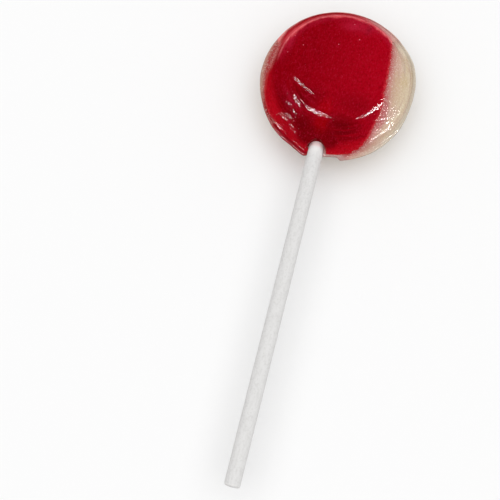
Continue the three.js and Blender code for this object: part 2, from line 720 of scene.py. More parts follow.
@dataclass(frozen=True)
class BoiledSugar:
    """The gloss and the fine dents and pits of sugar that has set against a mould.

    Attributes:
        roughness: How rough the gloss is.
        ior: How strongly the sugar bends light.
        gloss: How strong its reflection is.
        fine_dents: The smaller dents.
        broad_dents: The larger dents.
        broad_share: How deep they are beside the smaller ones.
        pits: The pits.
        pit_share: How deep they are beside the smaller dents.
        pit_depth: How deep those are, in millimetres.
        grains: The fine unevenness of its colour.
    """

    roughness: float = 0.07
    ior: float = 1.5
    gloss: float = 0.25
    fine_dents: Pattern = Pattern(0.5, 0.0)
    broad_dents: Pattern = Pattern(2.0, 0.0)
    broad_share: float = 0.8
    pits: Specks = Specks(1.0, 0.2, 0.4)
    pit_share: float = 0.45
    pit_depth: float = 0.08
    grains: Pattern = Pattern(0.4, 2.0)

    def finish(self, sugar: SugarGraph) -> bpy.types.Material:
        """Completes a sugar's material once its colours are laid.

        Args:
            sugar: The material's graph.

        Returns:
            The material.
        """
        dents = sugar.noise(self.fine_dents) + sugar.noise(self.broad_dents) * self.broad_share
        height = dents + (1 - sugar.specks(self.pits)) * self.pit_share
        return sugar.complete({
            "Roughness": self.roughness,
            "IOR": self.ior,
            "Specular IOR Level": self.gloss,
            "Normal": sugar.bump(height, self.pit_depth),
        })


@dataclass(frozen=True)
class RedSugar(BoiledSugar):
    """Deep red boiled sugar, clear enough that thin rims and what lies under them show.

    Its colours come first, then its unevenness and its specks, and last where it looks different.
    """

    face: Colour = paint(152, 1, 17)
    face_left: Colour = paint(136, 0, 12)
    face_right: Colour = paint(164, 2, 22)
    shadow: Colour = paint(98, 0, 4)
    over_stick: Colour = paint(151, 0, 6)
    stick_end: Colour = paint(172, 3, 20)
    # Painted light on the thin walls
    wall: Colour = paint(188, 10, 26)
    point: Colour = paint(130, 4, 18)
    rim_film: Colour = paint(164, 78, 78)
    film: Colour = paint(232, 84, 92)
    thin_film: Colour = paint(236, 176, 170)
    # Painted sheen, also used for the pink mottle
    pink_sheen_and_mottle: Colour = paint(176, 26, 54)
    purple: Colour = paint(150, 14, 38)
    # Painted highlight along the crease
    crease_highlight: Colour = paint(240, 122, 130)
    # Painted glints on the sugar's tiny bumps
    speck: Colour = paint(228, 110, 130)
    melted: Colour = paint(240, 202, 184)

    pit_depth: float = 0.075
    clouds: Pattern = Pattern(4.0, 3.0)
    streaks: Pattern = Pattern(0.9, 3.0, (1.0, 0.2, 1.0))
    rings: Pattern = Pattern(1.0, 2.0, (1.0, 0.1, 1.0), swirled=True)
    fine_grains: Pattern = Pattern(0.3, 1.0, (1.0, 0.4, 1.0))
    seam_specks: Specks = Specks(0.5, 0.17, 0.55)
    small_glints: Specks = Specks(0.9, 0.14, 0.3)
    large_glints: Specks = Specks(2.9, 0.22, 0.45)

    # Darker spots: painted shade low on the face round the stick and in the fold at the lower left, and a
    # dark streak near the top
    shaded_spots: tuple[Spot, ...] = (
        Spot((4.0, -14.5, 6.0), (8.5, 5.5, 9.0)),
        Spot((6.0, -8.5, 7.0), (8.5, 6.0, 9.0), 0.45),
        Spot((-6.0, -15.5, 4.0), (5.0, 4.5, 8.0)),
        Spot((-6.5, -8.8, 7.0), (8.0, 4.4, 9.0), 0.6),
        Spot((4.6, 13.2, 7.0), (1.2, 2.6, 9.0), 0.8),
    )
    round_hole: Spot = Spot((-1.4, -17.2, 3.0), (8.5, 3.8, 8.0))
    lower_left: Spot = Spot((-9.5, -10.5, 6.0), (8.0, 8.0, 12.0))
    lower_right: Spot = Spot((6.5, -16.0, 4.0), (8.0, 6.0, 9.0))
    sunk_end: Spot = Spot((-1.2, -9.8, 7.6), (2.4, 3.0, 5.0))
    # Painted sheen: soft reflections at the top and on the left
    painted_sheens: tuple[Spot, ...] = (
        Spot((1.8, 13.2, 7.0), (6.5, 3.4, 9.0)),
        Spot((-14.8, 5.5, 5.0), (2.4, 7.5, 9.0)),
    )
    left_wall: Spot = Spot((-18.4, 4.5, 2.0), (3.0, 8.5, 5.0))
    sunk_stick_x: float = -1.4
    slope_radius: float = 15.5
    low_crease_radius: float = 16.1
    crease_radius: float = 16.4
    deep_wall_radius: float = 18.1

    def colour_face(self, sugar: SugarGraph, streak: Wire) -> None:
        """Colours the face, brighter to the right."""
        sugar.cover((sugar.x + sugar.cloud.sway(4.0)).ease(-11.0, 10.0), self.face_right)
        sugar.cover(streak.ease(0.35, 0.75) * 0.5, self.face)

    def paint_shade(self, sugar: SugarGraph, round_hole: Wire) -> None:
        """Paints shade: darkens the shaded spots and the sugar round the stick's hole."""
        shaded_spots = [sugar.spot(spot) for spot in self.shaded_spots]
        sugar.cover(sugar.greatest(*shaded_spots, round_hole.ease(0.0, 0.5) * 0.8) * 0.9, self.shadow)

    def draw_rings(self, sugar: SugarGraph) -> None:
        """Draws the faint rings that the mould left to both sides of the stick, and paints shade along the
        crease low on the left.

        Args:
            sugar: The material's graph.
        """
        ring = sugar.noise(self.rings)
        left, right = sugar.spot(self.lower_left), sugar.spot(self.lower_right)
        sugar.cover(left * ring.ease(0.52, 0.66) * 0.8, self.purple)
        sugar.cover(right * ring.ease(0.48, 0.64) * 0.65, self.face_right)
        sugar.cover(sugar.greatest(left, right * 0.6) * ring.ease(0.47, 0.34) * 0.8, self.shadow)
        # Painted shade along the crease low on the left
        painted_crease_shade = left * abs(sugar.radius - self.low_crease_radius).ease(1.4, 0.3)
        sugar.cover(painted_crease_shade * 0.6, self.shadow)

    def show_sunk_stick(self, sugar: SugarGraph) -> None:
        """Draws the brighter band over the stick and over its inner end.

        Args:
            sugar: The material's graph.
        """
        over_stick = (abs(sugar.x - self.sunk_stick_x) + sugar.cloud.sway(1.2)).ease(2.3, 0.6)
        band = over_stick * sugar.y.ease(-7.5, -11.5) * sugar.y.ease(-17.5, -14.5)
        sugar.cover(band * 0.8, self.over_stick)
        sugar.cover(sugar.spot(self.sunk_end) * sugar.grain.ease(0.3, 0.6) * 0.6, self.stick_end)

    def paint_wall_light_and_sheen(self, sugar: SugarGraph, round_hole: Wire) -> None:
        """Paints light on the walls, lighter red where light shows through the thin sugar, and paints a
        sheen at the top and on the left.

        Args:
            sugar: The material's graph.
            round_hole: How near a place is to the stick's hole, where no light is painted on the wall.
        """
        # Painted light: the walls lighter where light shows through the thin sugar, except beside the
        # stick's hole
        wall = sugar.rim.ease(0.80, 0.92) * round_hole.ease(0.45, 0.0)
        sugar.cover(wall * 0.8, self.wall)
        # Painted sheen: soft reflections at the top and on the left
        pink_sheen_and_mottle = sugar.greatest(*[sugar.spot(spot) for spot in self.painted_sheens])
        sugar.cover(pink_sheen_and_mottle * sugar.cloud.ease(0.25, 0.6) * 0.8, self.pink_sheen_and_mottle)

    def thin_edges(self, sugar: SugarGraph) -> None:
        """Colours the red point beside the stick and the film where red thins out over cream.

        Args:
            sugar: The material's graph.
        """
        point = sugar.rim.ease(0.93, 0.97) * sugar.y.ease(-12.0, -15.0) * sugar.x.ease(-2.0, -4.0)
        sugar.cover(point, self.point)
        sugar.cover(point * sugar.flash.ease(0.5, 1.0) * 0.6, self.rim_film)
        thin = sugar.seam.ease(-0.7, 0.0) * sugar.grain.ease(0.3, 0.55)
        sugar.cover(thin * (0.4 - 0.28 * sugar.y.ease(-14.5, -17.0)), self.film)
        sugar.cover(sugar.spot(self.left_wall) * sugar.grain.ease(0.25, 0.7), self.thin_film)

    def thin_top_wall(self, sugar: SugarGraph, streak: Wire) -> Wire:
        """Lets the cream shine through the red round the top, most of all at the right, where the pale wall
        is partly painted reflection. Also paints a sheen on the slope inside the crease and a highlight
        along the crease.

        Args:
            sugar: The material's graph.
            streak: The sugar's streaks.

        Returns:
            1 on the top wall and 0 off it.
        """
        upper = sugar.y.ease(-1.0, 6.0)
        sheen_on_slope = (abs(sugar.radius - self.slope_radius) + sugar.grain.sway(0.8)).ease(1.6, 0.2)
        # Painted sheen on the slope inside the crease
        sugar.cover(upper * sheen_on_slope * 0.35, self.pink_sheen_and_mottle)
        # The cream showing through the thin red at the top, partly painted reflection
        uneven = sugar.radius + sugar.cloud.sway(1.6) + streak.sway(1.2)
        wall = uneven.ease(15.3, 16.3) * sugar.y.ease(2.0, 10.0)
        deep = abs(uneven - self.deep_wall_radius).ease(1.2, 0.2) * sugar.x.ease(5.0, -3.0)
        sugar.cover(wall * (0.85 - 0.7 * deep), self.film)
        pale = sugar.x.ease(0.0, 9.0) * (uneven + 0.1 * sugar.x).ease(16.2, 19.2)
        sugar.cover(wall * sugar.greatest(pale, uneven.ease(18.6, 20.0) * 0.55), self.thin_film)
        melting = (sugar.seam + sugar.grain.sway(0.8)).ease(-1.8, 0.2) * sugar.x.ease(8.5, 11.0)
        sugar.cover(wall * melting * 0.6, self.melted)
        # Painted highlight along the crease
        crease_highlight = (abs(sugar.radius - self.crease_radius) + sugar.grain.sway(0.5)).ease(0.5, 0.05)
        sugar.cover(upper * crease_highlight * streak.ease(0.25, 0.6) * 0.75, self.crease_highlight)
        return wall

    def add_grain(self, sugar: SugarGraph, top_wall: Wire) -> None:
        """Mottles the sugar, scatters film specks along the seam and paints small glints.

        Args:
            sugar: The material's graph.
            top_wall: Where the top wall is, which is mottled less.
        """
        mottle = 0.5 * sugar.grain + 0.5 * sugar.noise(self.fine_grains)
        sugar.cover(mottle.ease(0.5, 0.7) * 0.45, self.pink_sheen_and_mottle)
        sugar.cover(mottle.ease(0.5, 0.34) * (0.4 - 0.3 * top_wall), self.shadow)
        sugar.cover(sugar.specks(self.seam_specks) * sugar.seam.ease(-1.2, -0.1) * 0.75, self.film)
        # Painted glints on the sugar's tiny bumps
        sugar.cover(sugar.specks(self.small_glints) * 0.16, self.speck)
        sugar.cover(sugar.specks(self.large_glints) * 0.9, self.speck)

    def material(self) -> bpy.types.Material:
        """Makes the material.

        Returns:
            The material.
        """
        sugar = SugarGraph("red_sugar", self.face_left, self.clouds, self.grains)
        streak = sugar.noise(self.streaks)
        round_hole = sugar.spot(self.round_hole)
        self.colour_face(sugar, streak)
        self.paint_shade(sugar, round_hole)
        self.draw_rings(sugar)
        self.show_sunk_stick(sugar)
        self.paint_wall_light_and_sheen(sugar, round_hole)
        self.thin_edges(sugar)
        top_wall = self.thin_top_wall(sugar, streak)
        self.add_grain(sugar, top_wall)
        return self.finish(sugar)


@dataclass(frozen=True)
class CreamSugar(BoiledSugar):
    """Milky cream boiled sugar, stained pink where it meets the red.

    Its colours come first, then its unevenness and its specks, and last where it looks different.
    """

    body: Colour = paint(222, 206, 180)
    warm: Colour = paint(210, 188, 152)
    fibre: Colour = paint(194, 160, 144)
    rim: Colour = paint(208, 199, 182)
    # Painted light high on the right
    lit: Colour = paint(242, 228, 204)
    stain: Colour = paint(192, 142, 130)
    edge_stain: Colour = paint(182, 104, 104)
    left_rim: Colour = paint(178, 134, 120)
    left_stain: Colour = paint(166, 46, 52)
    low_rim: Colour = paint(160, 76, 76)
    low_stain: Colour = paint(140, 8, 20)
    under_stick: Colour = paint(182, 146, 142)
    speck: Colour = paint(248, 240, 230)
    melted: Colour = paint(236, 184, 170)

    pit_depth: float = 0.088
    clouds: Pattern = Pattern(3.2, 3.0)
    streaks: Pattern = Pattern(0.8, 3.0, (1.0, 0.12, 1.0), swirled=True)
    fine_grains: Pattern = Pattern(0.3, 1.0)
    seam_specks: Specks = Specks(0.5, 0.18, 0.6)
    pale_specks: Specks = Specks(1.8, 0.15, 0.25)
    middle_right: Spot = Spot((16.0, -0.5, 4.0), (5.0, 7.0, 7.0))
    painted_light_spot: Spot = Spot((13.8, 12.8, 3.0), (4.5, 6.0, 6.0))
    lower_right: Spot = Spot((12.5, -8.0, 6.0), (4.5, 7.0, 9.0))
    near_stick: Spot = Spot((3.0, -20.5, 0.0), (7.0, 3.0, 2.0))

    def colour_body(self, sugar: SugarGraph, streak: Wire, lit: Wire) -> None:
        """Colours the sugar away from the seam.

        Args:
            sugar: The material's graph.
            streak: The sugar's streaks, which show on its front.
            lit: Where light is painted on, and the sugar is brightest.
        """
        on_front = sugar.z.ease(-4.2, -1.2)
        sugar.cover(sugar.cloud.ease(0.35, 0.7), self.warm)
        sugar.cover(streak.ease(0.46, 0.66) * (0.08 + 0.62 * on_front), self.fibre)
        sugar.cover(sugar.cloud.ease(0.5, 0.3) * (1 - on_front) * 0.35, self.fibre)
        sugar.cover(sugar.rim.ease(0.93, 0.99) * 0.8, self.rim)
        sugar.cover(sugar.spot(self.middle_right) * 0.6, self.warm)
        # Painted light
        sugar.cover(lit * 0.8, self.lit)

    def stain_along_seam(self, sugar: SugarGraph, streak: Wire, lit: Wire) -> None:
        """Stains the sugar pink along the seam, darkest low on the right.

        Args:
            sugar: The material's graph.
            streak: The sugar's streaks.
            lit: Where light is painted on, and the sugar is brightest and stained less.
        """
        lower = sugar.spot(self.lower_right)
        stained = (sugar.seam + sugar.cloud.sway(2.4) + streak.sway(2.8)).ease(4.8, 0.6)
        sugar.cover(stained * (0.85 - 0.55 * lit), self.stain)
        torn = (sugar.seam - lower + sugar.grain.sway(1.6)).ease(2.0, 0.1)
        sugar.cover(torn * (0.9 - 0.5 * lit), self.edge_stain)
        sugar.cover(torn * lower * 0.4, self.left_stain)
        fused = (sugar.seam + sugar.grain.sway(0.5)).ease(0.75, 0.0) * sugar.x.ease(3.0, 6.0)
        sugar.cover(fused * sugar.y.ease(12.0, 9.0) * 0.85, self.left_stain)
        melting = (sugar.seam + sugar.grain.sway(0.8)).ease(2.2, -0.2) * lit
        sugar.cover(melting * 0.6, self.melted)
        sugar.cover(sugar.specks(self.seam_specks) * sugar.seam.ease(1.3, 0.1) * 0.9, self.left_stain)

    def redden_rim(self, sugar: SugarGraph) -> None:
        """Lets the red show in the thin rim on the left, and tinges the flap beside the stick.

        Args:
            sugar: The material's graph.
        """
        left = sugar.x.ease(-8.0, -12.0) * sugar.y.ease(9.0, 6.0) * sugar.z.ease(-0.5, 0.2)
        sugar.cover(left, self.left_rim)
        reddened = (sugar.flash + sugar.grain.sway(0.5) - 0.03 * (sugar.y + 2)).ease(0.8, 0.1)
        sugar.cover(left * reddened * 0.9, self.left_stain)
        low = left * sugar.y.ease(-5.0, -13.0)
        sugar.cover(low, self.low_rim)
        sugar.cover(low * (sugar.flash + sugar.grain.sway(0.3)).ease(0.85, 0.4), self.low_stain)
        sugar.cover(sugar.spot(self.near_stick).ease(0.1, 0.6) * 0.85, self.under_stick)

    def add_grain(self, sugar: SugarGraph) -> None:
        """Mottles the sugar and scatters its pale specks.

        Args:
            sugar: The material's graph.
        """
        sugar.cover(sugar.grain.ease(0.5, 0.25) * 0.5, self.stain)
        sugar.cover(sugar.noise(self.fine_grains).ease(0.56, 0.72) * 0.4, self.speck)
        sugar.cover(sugar.specks(self.pale_specks) * 0.5, self.speck)

    def material(self) -> bpy.types.Material:
        """Makes the material.

        Returns:
            The material.
        """
        sugar = SugarGraph("cream_sugar", self.body, self.clouds, self.grains)
        streak = sugar.noise(self.streaks)
        # Painted light on the cream high on the right
        lit = sugar.spot(self.painted_light_spot).ease(0.0, 0.6)
        self.colour_body(sugar, streak, lit)
        self.stain_along_seam(sugar, streak, lit)
        self.redden_rim(sugar)
        self.add_grain(sugar)
        return self.finish(sugar)


@dataclass(frozen=True)
class RolledPaper:
    """Matte white paper, rolled tight.

    Its colours come first, then how thick one turn of the roll is, and then its surface.
    """

    sheet: Colour = paint(217, 216, 215)
    fibre: Colour = paint(198, 197, 195)
    # Painted light
    painted_light_white: Colour = paint(248, 246, 244)
    # Painted pink glow, as of light through the red sugar
    painted_pink_glow: Colour = paint(250, 196, 194)
    fleck: Colour = paint(190, 184, 176)
    turn: float = 0.16
    roughness: float = 0.8
    dent_depth: float = 0.06
    fibres: Pattern = Pattern(0.5, 4.0, (1.0, 0.25, 1.0))
    clouds: Pattern = Pattern(3.0, 2.0)
    grains: Pattern = Pattern(0.55, 1.0)
    flecks: Specks = Specks(9.0, 0.2, 0.3)

    def colour_sheet(self, paper: PieceGraph, fibres: Wire) -> None:
        """Colours the paper, with painted light near the sugar and on the free end, and a painted pink glow
        where it enters the sugar.

        Args:
            paper: The material's graph.
            fibres: The paper's fibres.
        """
        paper.cover(fibres.ease(0.4, 0.75) * 0.45, self.fibre)
        paper.cover(paper.noise(self.grains).ease(0.5, 0.7) * 0.45, self.fibre)
        # Painted light where the paper nears the sugar's hole
        paper.cover(paper.y.ease(-22.5, -18.0) * 0.8, self.painted_light_white)
        # Painted pink glow, as of light through the red sugar
        paper.cover(paper.y.ease(-19.5, -18.6) * 0.5, self.painted_pink_glow)
        # Painted light on the free end
        paper.cover(paper.y.ease(STICK_LOW.y + 0.7, STICK_LOW.y + 0.3) * 0.35, self.painted_light_white)
        paper.cover(paper.specks(self.flecks) * 0.6, self.fleck)

    def gap_on_end(self, paper: PieceGraph) -> Wire:
        """Finds the spiral gap between the paper's turns on the free end.

        Args:
            paper: The material's graph.

        Returns:
            1 in the gap and 0 beside it.
        """
        across = paper.x - STICK_X
        from_axis = paper.math("SQRT", across * across + paper.z * paper.z)
        angle = paper.math("ARCTAN2", paper.z, across) / (2 * math.pi)
        roll = paper.math("PINGPONG", from_axis / self.turn + angle, 0.5) * 2
        return roll.ease(0.3, 0.0) * paper.y.ease(STICK_LOW.y + 0.4, STICK_LOW.y + 0.1)

    def material(self) -> bpy.types.Material:
        """Makes the material.

        Returns:
            The material.
        """
        paper = PieceGraph("rolled_paper", self.sheet)
        fibres = paper.noise(self.fibres)
        self.colour_sheet(paper, fibres)
        gap = self.gap_on_end(paper)
        paper.cover(gap * 0.6, self.fleck)
        height = 0.5 * fibres + 0.4 * paper.noise(self.clouds) - 0.6 * gap
        return paper.complete({"Roughness": self.roughness, "Normal": paper.bump(height, self.dent_depth)})


@dataclass
class ColourSeam:
    """The surface where red sugar meets cream: level over the flash, then steeply up at the right.

    Attributes:
        line: Where the seam crosses the front, as pairs of Y and X.
        soften: How far the line's corners are rounded to each side.
        level: The level part's height.
        thin_top_drop: How much lower it lies round the top, where red runs over the flash.
        top_sector: The clock directions between which it does, and how soft their edges are.
        point_drop: How much lower it lies in the red point beside the stick.
        point_sector: The clock directions between which the point is red right through.
        point_radii: Between which radii the seam drops to the point's.
        tears: How the line wanders where the two sugars tore apart.
        reach: How far to each side the red space reaches, beyond the head.
        top: How high it reaches, above the head.
        weld: How close two points of its mesh are to become one.
    """

    line: tuple[tuple[float, float], ...] = (
        (-20, 6.1), (-19, 6.7), (-18.1, 8.0), (-16.4, 9.75), (-15, 10.7), (-13, 11.2),
        (-10.9, 11.75), (-8.9, 12.4), (-6, 12.5), (-3, 12.2), (4.4, 12.0), (7.9, 11.7),
        (11.4, 11.15), (13.5, 11.9), (15.7, 12.45), (20, 12.6),
    )
    soften: float = 0.5
    level: float = 0.75
    thin_top_drop: float = 0.55
    top_sector: Triple = (294, 418, 4)
    point_drop: float = 1.5
    point_sector: Triple = (183, 221, 1.5)
    point_radii: tuple[float, float] = (17.1, 17.5)
    tears: tuple[Ripple, ...] = (Ripple(0.38, 0.8, 3.0), Ripple(0.228, 0.35, 7.0))
    reach: float = 25.0
    top: float = 14.0
    weld: float = 1e-3

    def crossing(self, y: np.ndarray) -> np.ndarray:
        """Gives the seam's place along X where it crosses the front."""
        return read_line(y, self.soften, *zip(*self.line))

    def floor(self, x: np.ndarray, y: np.ndarray) -> np.ndarray:
        """Gives the height of the seam's level part.

        Args:
            x: Places along X.
            y: Places along Y.

        Returns:
            The height at each place.
        """
        radius, clock = polar(x, y)
        over_top = within(clock, *self.top_sector)
        in_point = within(clock, *self.point_sector) * ease(radius, *self.point_radii)
        return self.level - self.thin_top_drop * over_top - self.point_drop * in_point

    def distance(self, points: np.ndarray) -> np.ndarray:
        """Works out how far places lie from the seam.

        Args:
            points: Places, one row each.

        Returns:
            The distances, above zero in the cream sugar and below zero in the red.
        """
        x, y, z = points.T
        beside = x - self.crossing(y)
        below = self.floor(x, y) - z
        outside = np.hypot(np.maximum(beside, 0), np.maximum(below, 0))
        inside = np.minimum(np.maximum(beside, below), 0)
        return np.where(outside > 0, outside, inside)

    def bend(self, points: np.ndarray, step: float, level_columns: int, steep_columns: int) -> np.ndarray:
        """Bends a flat grid round into a tube along Y, with the torn seam as two of its sides.

        Args:
            points: The grid's places, from -0.5 to 0.5, one row each.
            step: The size of its faces.
            level_columns: How many of its columns lie on the seam's level part.
            steep_columns: How many climb its steep part. Two more go back over the top.

        Returns:
            The places round the tube.
        """
        top_column = level_columns + steep_columns
        column = np.rint((points[:, 0] + 0.5) * (top_column + 2))
        y = points[:, 1] * 2 * self.reach
        rows = np.column_stack([y, column * step, 0 * y])
        turn_x = self.crossing(y) + sum(tear.at(rows) for tear in self.tears)
        x = -self.reach + np.clip(column / level_columns, 0, 1) * (turn_x + self.reach)
        floor = self.floor(x, y)
        z = floor + np.clip((column - level_columns) / steep_columns, 0, 1) * (self.top - floor)
        x = np.where(column > top_column, -self.reach, x)
        z = np.where(column > top_column + 1, floor, z)
        return np.column_stack([x, y, z])

    def red_space(self, step: float) -> bpy.types.Mesh:
        """Makes the body of space that the red sugar fills.

        Args:
            step: The size of its faces.

        Returns:
            A closed mesh that reaches beyond the head except at the seam.
        """
        level_columns = rows = math.ceil(2 * self.reach / step)
        steep_columns = math.ceil((self.top - self.level) / step)
        bm = bmesh.new()
        bmesh.ops.create_grid(
            bm, x_segments=level_columns + steep_columns + 2, y_segments=rows, size=0.5,
        )
        move_vertices(bm, self.bend(places_of(bm), step, level_columns, steep_columns))
        bmesh.ops.remove_doubles(bm, verts=bm.verts, dist=self.weld)
        rims = [edge for edge in bm.edges if edge.is_boundary]
        bmesh.ops.holes_fill(bm, edges=rims, sides=0)
        bmesh.ops.triangulate(bm, faces=[face for face in bm.faces if len(face.verts) > 4])
        bmesh.ops.recalc_face_normals(bm, faces=bm.faces)
        return to_mesh("red_space", bm)


@dataclass
class PressedHead:
    """The boiled-sugar head, pressed between two mould halves round the stick.

    Attributes:
        step: The size of its faces.
        around: How many faces go round it.
        back_depth: How far the back's flat lies below the parting plane.
        back_flat_radius: Where the back's flat ends.
        back_crease: Where the back's slope meets its wall: radius, height and rounding.
        front_rise: How far the front's flat lies above the parting plane.
        front_crown: How much higher its middle is.
        crown_share: The share of the crown that is left halfway out.
        crown_rounding: How much the profile is rounded there.
        front_flat_radius: Where the front's flat ends.
        flat_rounding: How much the edges of both flats are rounded.
        front_crease: Where the front's slope meets its wall: radius, height and rounding.
        bulge: Where the walls stand out most: radius, height and rounding.
        wall_base_radius: Where the turned blank's walls meet its flash.
        base_rounding: How much they are rounded there.
        flash_radius: Where the blank's flash ends.
        flash_rounding: How much its edge is rounded.
        flash_thickness: How thick the flash is beside the walls.
        flash_edge_thickness: How thick it is at its edge.
        flash_edge: Where the pressed head's flash ends.
        front_base: Where its walls meet the flash.
        least_flash: How wide its flash is at least.
        face_shift: How far the front's flat is set off to the right.
        shift_radii: Between which radii that shift fades out.
        wear_height: Above which height the front is fuller or worn.
        upper_sector: The clock directions of the front's fuller top, and how soft their edges are.
        upper_crest: The radii where the fuller part starts, is fullest and ends.
        upper_fullness: How much fuller it is.
        upper_wear: How deep the flat's edge is worn there, and how wide.
        lower_sector: The clock directions of the flat's rounded lower edge, and how soft their edges are.
        lower_wear: How deep the flat's edge is worn there, and how wide.
        folds: The folds in the front.
        fold_height: Above which height of the blank they are.
        dimple_depth: How far the wall is drawn in round the stick.
        dimple_height: How much taller than wide that dimple is.
        dimple_width: How far it reaches beyond the stick.
        dimple_radii: Between which radii it sets in.
        dimple_flash: Over which share of the flash it fades out.
        unevenness: How uneven the surface is as it sets.
        still_height: How far above the back's flat it is so in full.
        grip: How much wider than the stick its hole is, all round.
        hole_sides: How many sides the hole has.
        hole_reach: How far out from the head's middle it is cut.
        crease_angle: Edges sharper than this many degrees stay crisp.
        seam: Where its two colours meet.
        red: The finish of its front.
        cream: The finish of its back.
    """

    step: float = 0.3
    around: int = 400

    back_depth: float = PARTING_HEIGHT
    back_flat_radius: float = 10.9
    back_crease: Triple = (16.6, -4.5, 0.5)
    front_rise: float = 7.75
    front_crown: float = 0.2
    crown_share: float = 0.75
    crown_rounding: float = 3.0
    front_flat_radius: float = 12.9
    flat_rounding: float = 1.0
    front_crease: Triple = (16.65, 4.75, 0.45)
    bulge: Triple = (18.9, 2.8, 0.8)
    wall_base_radius: float = 20.1
    base_rounding: float = 0.15
    flash_radius: float = 21.1
    flash_rounding: float = 0.3
    flash_thickness: float = 1.1
    flash_edge_thickness: float = 0.8

    flash_edge: Outline = Outline((
        (0, 20.5), (25, 20.4), (45, 20.42), (60, 20.65), (75, 20.35), (85, 20.0), (95, 19.87),
        (105, 19.95), (120, 20.37), (140, 20.83), (155, 21.15), (165.6, 21.45), (166.6, 21.1),
        (167.9, 20.45), (170, 20.4), (177.5, 20.66), (184, 20.7), (188.2, 21.5), (190.6, 22.1),
        (191.6, 22.1), (196, 21.65), (203, 21.25), (212, 21.15), (221, 20.98), (230, 20.74),
        (240, 20.44), (255, 20.28), (275, 20.22), (295, 20.1), (310, 20.22), (330, 20.42), (350, 20.5),
    ))
    front_base: Outline = Outline((
        (0, 20.3), (40, 20.2), (60, 20.3), (90, 19.6), (120, 19.9), (150, 19.9), (163, 20.1), (170, 20.35),
        (178, 20.5), (184, 20.6), (191, 20.8), (199, 20.1), (207, 19.75), (216, 19.15), (220, 19.35),
        (224, 20.0), (230, 20.1), (238, 19.9), (250, 19.35), (258, 19.0), (269, 18.55), (280, 18.5),
        (288, 18.8), (295, 19.4), (305, 20.0), (322, 20.3), (340, 20.3),
    ), soften=2.0)
    least_flash: float = 0.15

    face_shift: float = 0.4
    shift_radii: tuple[float, float] = (13, 17)
    wear_height: float = 2.0
    upper_sector: Triple = (285, 440, 30)
    upper_crest: Triple = (12.6, 16.2, 19.3)
    upper_fullness: float = 1.3
    upper_wear: tuple[float, float] = (0.25, 1.7)
    lower_sector: Triple = (112, 240, 10)
    lower_wear: tuple[float, float] = (0.14, 1.4)
    folds: tuple[Fold, ...] = (
        Fold((-12.4, -3.0), (-2.9, -8.7), 0.42, 1.1, 3.0),
        Fold((-11.4, -8.6), (-5.4, -13.4), 0.2, 0.8, 2.0),
        Fold((-14.4, 0.6), (-10.6, -15.0), 0.08, 0.6, 2.4),
        Fold((-9.8, -8.0), (-5.6, -12.1), 0.22, 0.5, 1.3),
        Fold((-13.4, -14.5), (-7.6, -18.0), 0.3, 0.4, 0.9),
    )
    fold_height: float = 0.3
    dimple_depth: float = 1.8
    dimple_height: float = 1.35
    dimple_width: float = 0.9
    dimple_radii: tuple[float, float] = (14, 18)
    dimple_flash: float = 0.5
    unevenness: tuple[Ripple, ...] = (
        Ripple(0.10, 7.0, 11.0), Ripple(0.045, 2.6, 5.0), Ripple(0.014, 0.9, 17.0),
    )
    still_height: float = 0.6
    grip: float = 0.02
    hole_sides: int = 64
    hole_reach: float = 40.0
    crease_angle: float = 38.0
    seam: ColourSeam = field(default_factory=ColourSeam)
    red: RedSugar = RedSugar()
    cream: CreamSugar = CreamSugar()

    def profile(self) -> list[tuple[float, ...]]:
        """Lists the profile's corners from the middle of the back out to the rim and up to the face.

        Returns:
            For each corner its radius, its height and, where it is rounded, how much.
        """
        half, edge = self.flash_thickness / 2, self.flash_edge_thickness / 2
        halfway_height = self.front_rise + self.crown_share * self.front_crown
        bulge_radius, bulge_height, bulge_rounding = self.bulge
        return [
            (0, -self.back_depth),
            (self.back_flat_radius, -self.back_depth, self.flat_rounding),
            self.back_crease,
            (bulge_radius, -bulge_height, bulge_rounding),
            (self.wall_base_radius, -half, self.base_rounding),
            (self.flash_radius, -edge, self.flash_rounding),
            (self.flash_radius, edge, self.flash_rounding),
            (self.wall_base_radius, half, self.base_rounding),
            self.bulge,
            self.front_crease,
            (self.front_flat_radius, self.front_rise, self.flat_rounding),
            (self.front_flat_radius / 2, halfway_height, self.crown_rounding),
            (0, self.front_rise + self.front_crown),
        ]

    def rims(self, clock: np.ndarray) -> tuple[np.ndarray, np.ndarray]:
        """Gives the radii of the walls' base and of the flash's edge in clock directions."""
        outer = self.flash_edge.radius(clock)
        return np.minimum(self.front_base.radius(clock), outer - self.least_flash), outer

    def spread(self, radius: np.ndarray, clock: np.ndarray) -> tuple[np.ndarray, np.ndarray]:
        """Moves the blank's walls and flash to the pressed head's rims.

        Args:
            radius: Radii on the blank.
            clock: Their clock directions.

        Returns:
            The radii on the pressed head, and the share of the flash's width that each has crossed.
        """
        base, outer = self.rims(clock)
        crease_radius = self.back_crease[0]
        flash_width = self.flash_radius - self.wall_base_radius
        up_wall = np.clip((radius - crease_radius) / (self.wall_base_radius - crease_radius), 0, 1)
        out_flash = np.clip((radius - self.wall_base_radius) / flash_width, 0, 1)
        spread = radius + up_wall * (base - self.wall_base_radius) + out_flash * (outer - base - flash_width)
        return spread, out_flash

    def at_flat_edge(self, radius: np.ndarray, width: float) -> np.ndarray:
        """Gives 1 at the edge of the front's flat, fading over a width to each side."""
        return np.exp(-((radius - self.front_flat_radius) / width) ** 2)

